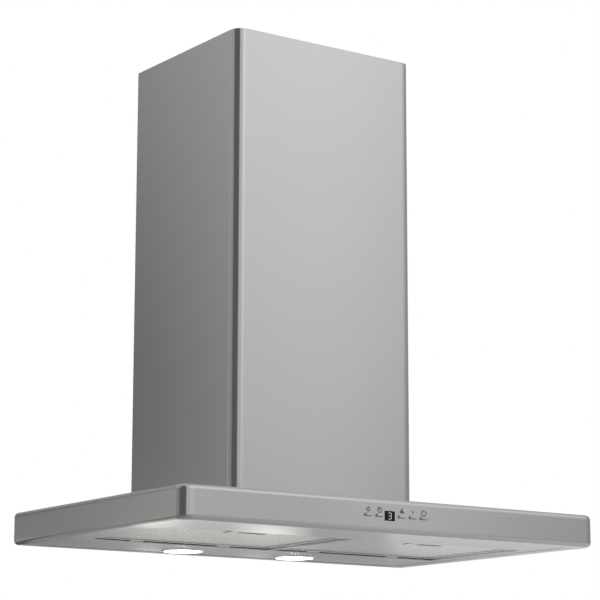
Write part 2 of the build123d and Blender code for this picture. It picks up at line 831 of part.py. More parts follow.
def build_scroll(side):
    """One half, with its side wall, inlet and rounded inlet bell."""
    with BuildPart() as half:
        with BuildSketch(fan_plane):
            add(scroll_outline(scroll_wall))
        extrude(amount=side * scroll_half)
        with BuildSketch(fan_plane):
            add(scroll_outline(0))
        extrude(amount=side * (scroll_half - scroll_wall), mode=Mode.SUBTRACT)
        with BuildSketch(fan_plane.offset(side * scroll_half)):
            Circle(inlet_radius + bell_width)
        extrude(amount=side * bell_height)
        with BuildSketch(fan_plane.offset(side * (scroll_half + bell_height))):
            Circle(inlet_radius)
        extrude(amount=-side * (bell_height + 2 * scroll_wall), mode=Mode.SUBTRACT)
        bell_edges = half.edges().filter_by(GeomType.CIRCLE).sort_by(Axis.X)
        bell_rim = bell_edges[-2:] if side > 0 else bell_edges[:2]
        fillet(bell_rim, bell_edge_radius)
    return half


finish(build_scroll(-1), "scroll_left")
finish(build_scroll(1), "scroll_right")

# Fan wheel: forward-curved blades between two rings, carried by a middle disc and hub
with BuildSketch() as blade:
    with BuildLine():
        heel = Vector(wheel_radius - blade_depth, 0)
        tip = Vector(wheel_radius, 0).rotate(Axis.Z, blade_lean)
        SagittaArc(heel, tip, -blade_bulge)
    trace(line_width=blade_thickness)
blade_sketch = blade.sketch

with BuildPart() as fan_wheel:
    with BuildSketch(fan_plane):
        with PolarLocations(0, blade_count):
            add(blade_sketch)
    extrude(amount=wheel_width / 2, both=True)
    for side in (-1, 1):
        with BuildSketch(fan_plane.offset(side * wheel_width / 2)):
            Circle(wheel_radius + blade_thickness / 2)
            Circle(wheel_radius - blade_depth + blade_thickness, mode=Mode.SUBTRACT)
        extrude(amount=-side * ring_thickness)
    with BuildSketch(fan_plane):
        Circle(wheel_radius - blade_depth / 2)
    extrude(amount=disc_thickness / 2, both=True)
    with BuildSketch(fan_plane):
        Circle(hub_radius)
    extrude(amount=hub_half_length, both=True)
    with BuildSketch(fan_plane):
        Circle(shaft_radius)
    extrude(amount=wheel_width, both=True, mode=Mode.SUBTRACT)
finish(fan_wheel, "fan_wheel")

# Motor in the right half of the wheel, with a bored nose for its shaft
bracket_x = scroll_half + bush_length
motor_start = hub_half_length + motor_hub_gap
with BuildPart() as fan_motor:
    with BuildSketch(fan_plane.offset(motor_start + motor_nose)):
        Circle(motor_radius)
    extrude(amount=bracket_x - motor_start - motor_nose)
    fillet(fan_motor.edges().filter_by(GeomType.CIRCLE), motor_edge_radius)
    with BuildSketch(fan_plane.offset(motor_start)):
        Circle(motor_nose_radius)
    extrude(amount=motor_nose + motor_edge_radius)
    with BuildSketch(fan_plane.offset(motor_start)):
        Circle(shaft_radius + running_gap)
    extrude(amount=motor_bore_depth, mode=Mode.SUBTRACT)
finish(fan_motor, "fan_motor")

with BuildPart() as motor_shaft:
    with BuildSketch(fan_plane.offset(-hub_half_length - shaft_grip)):
        Circle(shaft_radius)
    extrude(amount=hub_half_length + shaft_grip + motor_start + motor_bore_depth - rest_gap)
    chamfer(motor_shaft.edges().filter_by(GeomType.CIRCLE), shaft_chamfer)
finish(motor_shaft, "motor_shaft")

# Motor bracket: three arms from the motor's end plate to rubber bushes on the scroll
bush_places = [
    (bush_circle * cos(radians(angle)), bush_circle * sin(radians(angle))) for angle in bracket_arm_angles
]
with BuildPart() as motor_bracket:
    with BuildSketch(fan_plane.offset(bracket_x)):
        Circle(bracket_disc_radius)
        for angle in bracket_arm_angles:
            with Locations(Rotation(0, 0, angle)):
                Rectangle(bush_circle, bracket_arm_width, align=(Align.MIN, Align.CENTER))
        with Locations(*bush_places):
            Circle(bracket_arm_width / 2)
        with Locations(*bush_places):
            Circle(bush_neck_radius + fit_gap, mode=Mode.SUBTRACT)
    extrude(amount=bracket_sheet)
finish(motor_bracket, "motor_bracket")

with BuildPart() as motor_bushes:
    with BuildSketch(fan_plane.offset(scroll_half)):
        with Locations(*bush_places):
            Circle(bush_radius)
    extrude(amount=bush_length)
    with BuildSketch(fan_plane.offset(bracket_x)):
        with Locations(*bush_places):
            Circle(bush_neck_radius)
    extrude(amount=bracket_sheet + bush_neck_tip)
finish(motor_bushes, "motor_bushes")

# Run capacitor on the inside of the left box wall, with its clip
capacitor_x = -(box_half - box_sheet - capacitor_clip_sheet - capacitor_radius)
capacitor_y = box_front + box_sheet + capacitor_clip_length / 2 + rest_gap
capacitor_bottom = fan_z - capacitor_height / 2
with BuildPart() as run_capacitor:
    with BuildSketch(Plane.XY.offset(capacitor_bottom)):
        with Locations((capacitor_x, capacitor_y)):
            Circle(capacitor_radius)
    extrude(amount=capacitor_height)
    fillet(run_capacitor.edges().filter_by(GeomType.CIRCLE), capacitor_edge_radius)
finish(run_capacitor, "run_capacitor")

with BuildPart() as capacitor_clip:
    with BuildSketch(Plane.XY.offset(fan_z - capacitor_clip_width / 2)):
        with Locations((capacitor_x, capacitor_y)):
            Circle(capacitor_radius + capacitor_clip_sheet)
        with Locations((-box_half + box_sheet, capacitor_y)):
            Rectangle(capacitor_clip_sheet, capacitor_clip_length, align=(Align.MIN, Align.CENTER))
        with Locations((capacitor_x, capacitor_y)):
            Circle(capacitor_radius, mode=Mode.SUBTRACT)
    extrude(amount=capacitor_clip_width)
finish(capacitor_clip, "capacitor_clip")

# Outlet collar: a moulded spigot with a flange and a ledge that the damper flaps close on
with BuildPart() as outlet_collar:
    with BuildSketch(Plane.XY.offset(box_top)):
        with Locations((0, collar_y)):
            Circle(collar_radius + collar_flange)
            with PolarLocations(collar_screw_circle, collar_screw_count, start_angle=collar_screw_angle):
                Circle(screw_radius + fit_gap, mode=Mode.SUBTRACT)
    extrude(amount=collar_flange_thickness)
    with BuildSketch(Plane.XY.offset(box_top)):
        with Locations((0, collar_y)):
            Circle(collar_radius)
    extrude(amount=collar_height)
    with BuildSketch(Plane.XY.offset(box_top + collar_ledge_height)):
        with Locations((0, collar_y)):
            Circle(collar_bore)
    extrude(amount=collar_height, mode=Mode.SUBTRACT)
    with BuildSketch(Plane.XY.offset(box_top)):
        with Locations((0, collar_y)):
            Circle(collar_bore - collar_ledge)
    extrude(amount=2 * collar_ledge_height, mode=Mode.SUBTRACT)
    with BuildSketch(Plane.YZ):
        with Locations((collar_y, flap_z)):
            Circle(pin_radius + running_gap)
    extrude(amount=collar_radius + collar_flange, both=True, mode=Mode.SUBTRACT)
finish(outlet_collar, "outlet_collar")

with BuildPart() as collar_screws:
    with BuildSketch(Plane.XY.offset(box_top + collar_flange_thickness)):
        with Locations((0, collar_y)):
            with PolarLocations(collar_screw_circle, collar_screw_count, start_angle=collar_screw_angle):
                Circle(screw_head_radius)
    extrude(amount=screw_head_height)
    with BuildSketch(Plane.XY.offset(box_top + collar_flange_thickness)):
        with Locations((0, collar_y)):
            with PolarLocations(collar_screw_circle, collar_screw_count, start_angle=collar_screw_angle):
                Circle(screw_radius)
    extrude(amount=-(collar_flange_thickness + box_sheet + screw_tail))
finish(collar_screws, "collar_screws")

with BuildPart() as damper_pin:
    with BuildSketch(Plane.YZ):
        with Locations((collar_y, flap_z)):
            Circle(pin_radius)
    extrude(amount=collar_radius - fit_gap, both=True)
finish(damper_pin, "damper_pin")


# Damper flaps: two half discs on the pin, each with two knuckles
def build_flap(side):
    """The flap on the room side (-1) or the wall side (1) of the pin, closed."""
    with BuildPart() as flap:
        with BuildSketch(Plane.XY.offset(flap_z - flap_thickness / 2)):
            with Locations((0, collar_y)):
                Circle(collar_bore - flap_edge_gap)
            with Locations((0, collar_y + side * flap_pin_gap)):
                Rectangle(
                    2 * collar_radius,
                    2 * collar_radius,
                    align=(Align.CENTER, Align.MAX if side > 0 else Align.MIN),
                    mode=Mode.SUBTRACT,
                )
        extrude(amount=flap_thickness)
        for end in (-1, 1):
            middle = end * knuckle_spacing + side * (knuckle_length + rest_gap) / 2
            with BuildSketch(Plane.YZ.offset(middle - knuckle_length / 2)):
                with Locations((collar_y, flap_z)):
                    Circle(knuckle_radius)
                with Locations((collar_y + side * knuckle_radius, flap_z)):
                    Rectangle(2 * knuckle_radius, flap_thickness)
                with Locations((collar_y, flap_z)):
                    Circle(pin_radius + running_gap, mode=Mode.SUBTRACT)
            extrude(amount=knuckle_length)
    return flap


finish(build_flap(-1), "damper_flap_front")
finish(build_flap(1), "damper_flap_rear")


# Duct covers: folded sheet, open towards the wall, with a return lip on each rear edge
def cover_section(width, front, rear, lip):
    """Folded section between its front and rear planes, with rounded front bends."""
    with BuildSketch() as section:
        with Locations((0, rear)):
            Rectangle(width, rear - front, align=(Align.CENTER, Align.MAX))
        fillet(section.vertices().group_by(Axis.Y)[0], cover_bend_radius)
        offset(amount=-cover_sheet, mode=Mode.SUBTRACT)
        with Locations((0, rear)):
            Rectangle(width - 2 * lip, 4 * cover_sheet, mode=Mode.SUBTRACT)
    return section.sketch


lower_section = cover_section(cover_width, -cover_depth, 0, cover_lip)
with BuildPart() as duct_cover_lower:
    with BuildSketch(Plane.XY.offset(canopy_top)):
        add(lower_section)
    extrude(amount=cover_height)
finish(duct_cover_lower, "duct_cover_lower")

upper_section = cover_section(upper_width, upper_front, upper_rear, cover_lip)
with BuildPart() as duct_cover_upper:
    with BuildSketch(Plane.XY.offset(upper_bottom)):
        add(upper_section)
    extrude(amount=upper_top - upper_bottom)
finish(duct_cover_upper, "duct_cover_upper")

# Feet: two angles on the canopy that locate the lower cover and carry the upper one when it is down
with BuildPart() as cover_feet:
    foot_outer = cover_width / 2 - cover_sheet
    for side in (-1, 1):
        with BuildSketch(Plane.XZ.offset(foot_inset)):
            with BuildLine():
                Polyline(
                    (side * foot_outer, canopy_top),
                    (side * foot_outer, canopy_top + foot_height),
                    (side * (foot_outer - foot_sheet), canopy_top + foot_height),
                    (side * (foot_outer - foot_sheet), canopy_top + foot_sheet),
                    (side * (foot_outer - foot_leg), canopy_top + foot_sheet),
                    (side * (foot_outer - foot_leg), canopy_top),
                    close=True,
                )
            make_face()
        extrude(amount=foot_length)
finish(cover_feet, "cover_feet")

# Wall bracket that rides in the top of the upper cover
strip_top = upper_top - bracket_below_top
strip_middle = strip_top - bracket_strip_height / 2
strip_half = upper_width / 2 - cover_sheet
with BuildPart() as cover_bracket:
    with BuildSketch(Plane.XY.offset(strip_top - bracket_strip_height)):
        with Locations((0, strip_rear)):
            Rectangle(2 * strip_half, bracket_ear, align=(Align.CENTER, Align.MAX))
            Rectangle(
                2 * (strip_half - bracket_strip_sheet),
                2 * (bracket_ear - bracket_strip_sheet),
                align=(Align.CENTER, Align.MAX),
                mode=Mode.SUBTRACT,
            )
        with Locations((0, strip_rear)):
            Rectangle(2 * strip_half, bracket_strip_sheet, align=(Align.CENTER, Align.MAX))
    extrude(amount=bracket_strip_height)
    with BuildSketch(Plane.XZ):
        with Locations((0, strip_middle)):
            with GridLocations(bracket_hole_spacing, 0, 2, 1):
                Circle(bracket_pad_radius)
    extrude(amount=-strip_rear)
    with BuildSketch(Plane.XZ):
        with Locations((0, strip_middle)):
            with GridLocations(bracket_hole_spacing, 0, 2, 1):
                Circle(bracket_pad_radius - bracket_strip_sheet)
    extrude(amount=-strip_rear + bracket_strip_sheet, mode=Mode.SUBTRACT)
    with BuildSketch(Plane.XZ):
        with Locations((0, strip_middle)):
            with GridLocations(bracket_hole_spacing, 0, 2, 1):
                Circle(bracket_pad_radius)
                Circle(bracket_hole_radius, mode=Mode.SUBTRACT)
    extrude(amount=bracket_strip_sheet)
finish(cover_bracket, "cover_bracket")

# Junction box on top of the blower box, with its lid and the gland for the supply cable
junction_plane = Plane.XY.offset(box_top)
with BuildPart() as junction_box:
    with BuildSketch(junction_plane):
        with Locations((0, junction_front)):
            RectangleRounded(
                junction_width, junction_depth, junction_corner_radius, align=(Align.CENTER, Align.MIN)
            )
    extrude(amount=junction_height)
    with BuildSketch(junction_plane.offset(junction_wall)):
        with Locations((0, junction_front + junction_wall)):
            RectangleRounded(
                junction_width - 2 * junction_wall,
                junction_depth - 2 * junction_wall,
                junction_wall,
                align=(Align.CENTER, Align.MIN),
            )
    extrude(amount=junction_height, mode=Mode.SUBTRACT)
    with BuildSketch(Plane.XZ.offset(-junction_front)):
        with Locations((loom_x, loom_top)):
            Circle(loom_radius + fit_gap)
    extrude(amount=-2 * junction_wall, mode=Mode.SUBTRACT)
finish(junction_box, "junction_box")

with BuildPart() as junction_lid:
    with BuildSketch(junction_plane.offset(junction_height)):
        with Locations((0, junction_front)):
            RectangleRounded(
                junction_width, junction_depth, junction_corner_radius, align=(Align.CENTER, Align.MIN)
            )
    extrude(amount=junction_wall)
    fillet(junction_lid.faces().sort_by(Axis.Z)[-1].edges(), lid_edge_radius)
    with BuildSketch(gland_plane):
        Circle(gland_radius + fit_gap)
    extrude(amount=-2 * junction_wall, mode=Mode.SUBTRACT)
finish(junction_lid, "junction_lid")

with BuildPart() as cable_gland:
    with BuildSketch(gland_plane.offset(-2 * junction_wall)):
        Circle(gland_radius)
    extrude(amount=2 * junction_wall + gland_length)
    with BuildSketch(gland_plane):
        RegularPolygon(gland_nut_radius, 6)
    extrude(amount=gland_nut_length)
    with BuildSketch(gland_plane.offset(-2 * junction_wall)):
        Circle(gland_bore_radius)
    extrude(amount=2 * junction_wall + gland_length, mode=Mode.SUBTRACT)
finish(cable_gland, "cable_gland")

# Wiring loom from the control board through the canopy's top to the junction box
with BuildPart() as wiring_loom:
    with BuildLine() as loom_route:
        FilletPolyline(
            (loom_x, board_front + board_thickness, control_z),
            (loom_x, loom_y, control_z),
            (loom_x, loom_y, loom_top),
            (loom_x, junction_front + junction_wall, loom_top),
            radius=(loom_bend, loom_from_box),
        )
    with BuildSketch(Plane(origin=loom_route.line @ 0, z_dir=loom_route.line % 0)):
        Circle(loom_radius)
    sweep()
finish(wiring_loom, "wiring_loom")

with BuildPart() as loom_grommet:
    with BuildSketch(Plane.XY.offset(canopy_ceiling - grommet_flange)):
        with Locations((loom_x, loom_y)):
            Circle(grommet_radius + grommet_flange)
    extrude(amount=canopy_sheet + 2 * grommet_flange)
    with BuildSketch(Plane.XY.offset(canopy_top)):
        with Locations((loom_x, loom_y)):
            Circle(grommet_radius + 2 * grommet_flange)
            Circle(grommet_radius, mode=Mode.SUBTRACT)
    extrude(amount=-canopy_sheet, mode=Mode.SUBTRACT)
    with BuildSketch(Plane.XY.offset(canopy_top)):
        with Locations((loom_x, loom_y)):
            Circle(loom_radius + fit_gap)
    extrude(amount=hood_depth, both=True, mode=Mode.SUBTRACT)
finish(loom_grommet, "loom_grommet")

with BuildPart() as loom_clips:
    loom_length = loom_y - board_front
    for share in (1 / 3, 2 / 3):
        clip_plane = Plane.XZ.offset(-(board_front + loom_length * share))
        with BuildSketch(clip_plane):
            with Locations((loom_x, control_z)):
                Circle(loom_radius + fit_gap + clip_wall)
            with Locations((loom_x, control_z)):
                Rectangle(2 * clip_wall, canopy_ceiling - control_z, align=(Align.CENTER, Align.MIN))
            with Locations((loom_x, canopy_ceiling)):
                Rectangle(clip_foot_width, clip_wall, align=(Align.CENTER, Align.MAX))
            with Locations((loom_x, control_z)):
                Circle(loom_radius + fit_gap, mode=Mode.SUBTRACT)
        extrude(amount=clip_width / 2, both=True)
finish(loom_clips, "loom_clips")
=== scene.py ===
import json
import math

import bmesh
import bpy
from mathutils import Matrix, Vector


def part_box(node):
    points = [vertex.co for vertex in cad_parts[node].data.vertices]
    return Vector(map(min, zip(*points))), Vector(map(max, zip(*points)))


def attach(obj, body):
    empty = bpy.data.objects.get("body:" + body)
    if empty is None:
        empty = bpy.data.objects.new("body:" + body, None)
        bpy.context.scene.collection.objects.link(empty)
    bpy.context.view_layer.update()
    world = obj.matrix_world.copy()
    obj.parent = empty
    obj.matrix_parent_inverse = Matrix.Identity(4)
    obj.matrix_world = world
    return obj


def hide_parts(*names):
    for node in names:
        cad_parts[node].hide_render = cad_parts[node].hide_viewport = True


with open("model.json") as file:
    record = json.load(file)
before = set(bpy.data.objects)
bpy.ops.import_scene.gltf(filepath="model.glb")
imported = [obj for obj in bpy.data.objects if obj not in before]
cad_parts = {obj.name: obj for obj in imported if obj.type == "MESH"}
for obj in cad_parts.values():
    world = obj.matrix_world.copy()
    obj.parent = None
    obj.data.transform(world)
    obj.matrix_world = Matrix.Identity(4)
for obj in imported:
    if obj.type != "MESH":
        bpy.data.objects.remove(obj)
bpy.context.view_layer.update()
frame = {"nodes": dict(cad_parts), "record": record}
scene = bpy.context.scene
nodes = frame["nodes"]

# Signs and digit on the fascia, in metres and degrees
FASCIA_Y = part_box("canopy_shell")[0].y
CONTROL_Z = sum(corner.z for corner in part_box("key_power")) / 2
SIGN_RISE = 0.0082
SIGN_STROKE = 0.00125
SIGN_DEPTH = 0.00012
DIGIT_STROKE = 0.0011
ARC_STEP_DEGREES = 12
FEWEST_ARC_STEPS = 6

# Expanded mesh of the grease filters, in metres
MESH_CELL_X = 0.0062
MESH_CELL_Y = 0.0038
MESH_STRAND = 0.0014
MESH_TILT = 0.00008
MESH_SINK = 0.0003
LATCH_MARGIN = 0.0125
CORE_CELLS = 60
MERGE_GAP = 1e-7
LEVEL_GAP = 1e-6

# Middle range of a noise value, which the finishes spread out
NOISE_LOW = 0.3
NOISE_HIGH = 0.7

# Studio: the floor, the tall cards' foot and height, the plane of the cards behind the hood, and tints
FLOOR_Z = -1.9
FLOOR_HALF = 12
FOOT = -0.93
TALL = (0, 0, 3.7)
REAR_Y = 0.06
WHITE = (1, 1, 1)
WARM = (1.0, 0.97, 0.91)
PALE_WARM = (1.0, 0.993, 0.975)


# Nodes
def new_material(name):
    """A material with its shader and node tree ready to extend."""
    material = bpy.data.materials.new(name)
    material.use_nodes = True
    tree = material.node_tree
    return material, tree, tree.nodes["Principled BSDF"]


def feed(tree, source, socket):
    """A socket linked to another one, or set to a number."""
    if isinstance(source, bpy.types.NodeSocket):
        tree.links.new(source, socket)
    else:
        socket.default_value = source


def calculate(tree, operation, first, second):
    """The result of a math node on two sockets, or on a socket and a number."""
    node = tree.nodes.new("ShaderNodeMath")
    node.operation = operation
    feed(tree, first, node.inputs[0])
    feed(tree, second, node.inputs[1])
    return node.outputs["Value"]


def vector_step(tree, operation, vector, other=(0, 0, 0)):
    """A vector math node on a linked vector and a fixed one."""
    node = tree.nodes.new("ShaderNodeVectorMath")
    node.operation = operation
    node.inputs[1].default_value = other
    tree.links.new(vector, node.inputs[0])
    return node


def blend(tree, share, first, second):
    """Two values mixed by a share of the second."""
    node = tree.nodes.new("ShaderNodeMix")
    feed(tree, share, node.inputs["Factor"])
    tree.links.new(first, node.inputs["A"])
    tree.links.new(second, node.inputs["B"])
    return node.outputs["Result"]


def soft_step(tree, value, start, end, before, after):
    """A value eased from one level to another between two places."""
    node = tree.nodes.new("ShaderNodeMapRange")
    node.interpolation_type = "SMOOTHSTEP"
    node.inputs["From Min"].default_value = start
    node.inputs["From Max"].default_value = end
    node.inputs["To Min"].default_value = before
    node.inputs["To Max"].default_value = after
    tree.links.new(value, node.inputs["Value"])
    return node.outputs["Result"]


def object_noise(tree, stretch, scale, detail):
    """Noise on object coordinates, stretched along the chosen axes."""
    coords = tree.nodes.new("ShaderNodeTexCoord")
    mapping = tree.nodes.new("ShaderNodeMapping")
    mapping.inputs["Scale"].default_value = stretch
    noise = tree.nodes.new("ShaderNodeTexNoise")
    noise.inputs["Scale"].default_value = scale
    noise.inputs["Detail"].default_value = detail
    tree.links.new(coords.outputs["Object"], mapping.inputs["Vector"])
    tree.links.new(mapping.outputs["Vector"], noise.inputs["Vector"])
    return noise.outputs["Fac"]


def spread(tree, value, low, high):
    """The middle range of a noise value mapped to the range low to high."""
    node = tree.nodes.new("ShaderNodeMapRange")
    node.inputs["From Min"].default_value = NOISE_LOW
    node.inputs["From Max"].default_value = NOISE_HIGH
    node.inputs["To Min"].default_value = low
    node.inputs["To Max"].default_value = high
    tree.links.new(value, node.inputs["Value"])
    return node.outputs["Result"]


def colours(tree, value, dark, light):
    """The middle range of a noise value turned into a colour between two."""
    ramp = tree.nodes.new("ShaderNodeValToRGB")
    ramp.color_ramp.elements[0].position = NOISE_LOW
    ramp.color_ramp.elements[1].position = NOISE_HIGH
    ramp.color_ramp.elements[0].color = (*dark, 1)
    ramp.color_ramp.elements[1].color = (*light, 1)
    tree.links.new(value, ramp.inputs["Fac"])
    return ramp.outputs["Color"]


def shade(colour, factor):
    """A colour made darker or lighter by a factor."""
    return tuple(channel * factor for channel in colour)


def follow(tree, shader, value, dark, light, smooth, rough):
    """Base colour and roughness that follow a noise value."""
    tree.links.new(colours(tree, value, dark, light), shader.inputs["Base Color"])
    tree.links.new(spread(tree, value, smooth, rough), shader.inputs["Roughness"])


def bump(tree, shader, height, distance, strength):
    """Fine relief from a height value, with its depth in metres."""
    node = tree.nodes.new("ShaderNodeBump")
    node.inputs["Distance"].default_value = distance
    node.inputs["Strength"].default_value = strength
    tree.links.new(height, node.inputs["Height"])
    tree.links.new(node.outputs["Normal"], shader.inputs["Normal"])


def surface_mix(tree, share, first, second):
    """The material's surface mixed from two shaders by a share of the second."""
    mix = tree.nodes.new("ShaderNodeMixShader")
    tree.links.new(share, mix.inputs["Fac"])
    tree.links.new(first, mix.inputs[1])
    tree.links.new(second, mix.inputs[2])
    tree.links.new(mix.outputs["Shader"], tree.nodes["Material Output"].inputs["Surface"])


# Finishes
def brushed_steel(name, colour, roughness, grain, anisotropy):
    """Stainless sheet brushed level on its upright faces and along X on its flat ones."""
    material, tree, shader = new_material(name)
    upright = object_noise(tree, stretch=(5, 5, 900), scale=1.0, detail=4.0)
    flat = object_noise(tree, stretch=(5, 900, 5), scale=1.0, detail=4.0)
    cloud = object_noise(tree, stretch=(1, 1, 1), scale=6.0, detail=2.0)
    geometry = tree.nodes.new("ShaderNodeNewGeometry")
    split = tree.nodes.new("ShaderNodeSeparateXYZ")
    tree.links.new(geometry.outputs["Normal"], split.inputs["Vector"])
    flatness = calculate(tree, "ABSOLUTE", split.outputs["Z"], 0)
    streak = blend(tree, flatness, upright, flat)
    patches = blend(tree, share=0.35, first=streak, second=cloud)
    tree.links.new(colours(tree, patches, shade(colour, 0.985), shade(colour, 1.015)),
                   shader.inputs["Base Color"])
    tree.links.new(spread(tree, streak, roughness - grain, roughness + grain), shader.inputs["Roughness"])
    smear = tree.nodes.new("ShaderNodeCombineXYZ")
    smear.inputs["Y"].default_value = 0.02
    smear.inputs["Z"].default_value = 1.0
    tree.links.new(smear.outputs["Vector"], shader.inputs["Tangent"])
    shader.inputs["Metallic"].default_value = 1.0
    shader.inputs["Anisotropic"].default_value = anisotropy
    bump(tree, shader, streak, distance=0.000006, strength=0.2)
    return material


def cast_metal(name, colour, roughness, grain_scale, depth):
    """Metal with an even grain, for cast, plated and satin pieces."""
    material, tree, shader = new_material(name)
    grain = object_noise(tree, stretch=(1, 1, 1), scale=grain_scale, detail=4.0)
    follow(tree, shader, grain, dark=shade(colour, 0.9), light=shade(colour, 1.05),
           smooth=roughness - 0.06, rough=roughness + 0.08)
    shader.inputs["Metallic"].default_value = 1.0
    bump(tree, shader, grain, distance=depth, strength=0.4)
    return material


def galvanised_sheet(name, colour):
    """Zinc coated sheet with its spangle of crystal patches."""
    material, tree, shader = new_material(name)
    coords = tree.nodes.new("ShaderNodeTexCoord")
    spangle = tree.nodes.new("ShaderNodeTexVoronoi")
    spangle.inputs["Scale"].default_value = 110.0
    tree.links.new(coords.outputs["Object"], spangle.inputs["Vector"])
    follow(tree, shader, spangle.outputs["Color"], dark=shade(colour, 0.86), light=shade(colour, 1.08),
           smooth=0.34, rough=0.5)
    shader.inputs["Metallic"].default_value = 1.0
    return material


def moulded_plastic(name, colour, roughness, grain_scale=900.0, depth=0.00002):
    """Moulded plastic or rubber with a fine texture from its tool, or a printed ink."""
    material, tree, shader = new_material(name)
    grain = object_noise(tree, stretch=(1, 1, 1), scale=grain_scale, detail=2.0)
    follow(tree, shader, grain, dark=shade(colour, 0.9), light=shade(colour, 1.1),
           smooth=roughness - 0.05, rough=roughness + 0.07)
    bump(tree, shader, grain, distance=depth, strength=0.5)
    return material


def lamp_diffuser(name, colour, strength):
    """Frosted lens or digit lit from behind."""
    material, tree, shader = new_material(name)
    frost = object_noise(tree, stretch=(1, 1, 1), scale=1400.0, detail=2.0)
    follow(tree, shader, frost, dark=shade(colour, 0.97), light=colour, smooth=0.32, rough=0.46)
    shader.inputs["Emission Color"].default_value = (*colour, 1)
    shader.inputs["Emission Strength"].default_value = strength
    return material


def tinted_window(name):
    """Black window with a clear gloss."""
    material, tree, shader = new_material(name)
    smear = object_noise(tree, stretch=(1, 1, 1), scale=260.0, detail=2.0)
    follow(tree, shader, smear, dark=(0.006, 0.006, 0.007), light=(0.012, 0.012, 0.013),
           smooth=0.08, rough=0.14)
    shader.inputs["Specular IOR Level"].default_value = 0.15
    return material


def circuit_board(name):
    """Green solder mask over copper tracks."""
    material, tree, shader = new_material(name)
    coords = tree.nodes.new("ShaderNodeTexCoord")
    mapping = tree.nodes.new("ShaderNodeMapping")
    mapping.inputs["Rotation"].default_value = (math.pi / 2, 0, 0)
    tracks = tree.nodes.new("ShaderNodeTexBrick")
    tracks.inputs["Scale"].default_value = 160.0
    tracks.inputs["Mortar Size"].default_value = 0.06
    tracks.inputs["Color1"].default_value = (0.02, 0.16, 0.06, 1)
    tracks.inputs["Color2"].default_value = (0.025, 0.19, 0.075, 1)
    tracks.inputs["Mortar"].default_value = (0.06, 0.32, 0.13, 1)
    tree.links.new(coords.outputs["Object"], mapping.inputs["Vector"])
    tree.links.new(mapping.outputs["Vector"], tracks.inputs["Vector"])
    tree.links.new(tracks.outputs["Color"], shader.inputs["Base Color"])
    tree.links.new(spread(tree, tracks.outputs["Fac"], low=0.34, high=0.42), shader.inputs["Roughness"])
    return material


finishes = {
    "stainless": brushed_steel("hood_stainless", (0.60, 0.60, 0.597),
                               roughness=0.24, grain=0.02, anisotropy=0.75),
    "bezel_steel": brushed_steel("bezel_stainless", (0.66, 0.655, 0.645),
                                 roughness=0.24, grain=0.04, anisotropy=0.4),
    "galvanised": galvanised_sheet("galvanised_sheet", (0.55, 0.57, 0.59)),
    "filter_aluminium": cast_metal("filter_aluminium", (0.79, 0.79, 0.782),
                                   roughness=0.28, grain_scale=240.0, depth=0.00002),
    "heat_sink": cast_metal("cast_heat_sink", (0.62, 0.63, 0.65),
                            roughness=0.42, grain_scale=700.0, depth=0.00006),
    "motor_metal": cast_metal("cast_motor_case", (0.52, 0.53, 0.55),
                              roughness=0.42, grain_scale=500.0, depth=0.00006),
    "bright_steel": cast_metal("zinc_plated_steel", (0.72, 0.72, 0.73),
                               roughness=0.2, grain_scale=1200.0, depth=0.00001),
    "black_plastic": moulded_plastic("black_plastic", (0.022, 0.022, 0.024), roughness=0.45),
    "grey_plastic": moulded_plastic("grey_plastic", (0.30, 0.31, 0.32), roughness=0.5),
    "white_plastic": moulded_plastic("white_plastic", (0.78, 0.78, 0.76), roughness=0.42),
    "lamp_glow": lamp_diffuser("lamp_diffuser", (1.0, 0.985, 0.95), strength=9.0),
    "display_black": tinted_window("display_window"),
    "board_green": circuit_board("control_board"),
    "rubber_black": moulded_plastic("black_rubber", (0.02, 0.02, 0.02),
                                    roughness=0.62, grain_scale=500.0, depth=0.00004),
}
sign_ink = moulded_plastic("sign_ink", (0.03, 0.03, 0.032), roughness=0.5, grain_scale=1500.0, depth=0.000005)
digit_glow = lamp_diffuser("digit_glow", (0.28, 0.29, 0.31), strength=0.9)

for part in frame["record"]["subparts"]:
    mesh = nodes[part["node"]].data
    mesh.materials.clear()
    mesh.materials.append(finishes[part["material_slot"]])


# New pieces
def mesh_object(name, form, material):
    """An object in the scene, made from a finished form and its material."""
    mesh = bpy.data.meshes.new(name)
    form.to_mesh(mesh)
    form.free()
    mesh.materials.append(material)
    made = bpy.data.objects.new(name, mesh)
    scene.collection.objects.link(made)
    return made


def piece(name, form, material, body):
    """A finished mesh at the origin that rides on a body."""
    bmesh.ops.remove_doubles(form, verts=form.verts, dist=MERGE_GAP)
    bmesh.ops.recalc_face_normals(form, faces=form.faces)
    made = mesh_object(name, form, material)
    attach(made, body)
    return made


def arc_stroke(form, centre, radius, start, sweep, width):
    """A flat curved stroke on the fascia, spun from a short edge; angles in degrees."""
    x, z = centre
    ends = [form.verts.new((x + radius + half * width / 2, 0, z)) for half in (-1, 1)]
    edge = form.edges.new(ends)
    turn = Matrix.Rotation(-math.radians(start), 4, "Y")
    place = Matrix.Translation((x, 0, z))
    bmesh.ops.transform(form, matrix=place @ turn @ place.inverted(), verts=ends)
    steps = max(FEWEST_ARC_STEPS, round(abs(sweep) / ARC_STEP_DEGREES))
    bmesh.ops.spin(form, geom=[*ends, edge], cent=(x, 0, z), axis=(0, -1, 0),
                   angle=math.radians(sweep), steps=steps, use_merge=abs(sweep) >= 360)


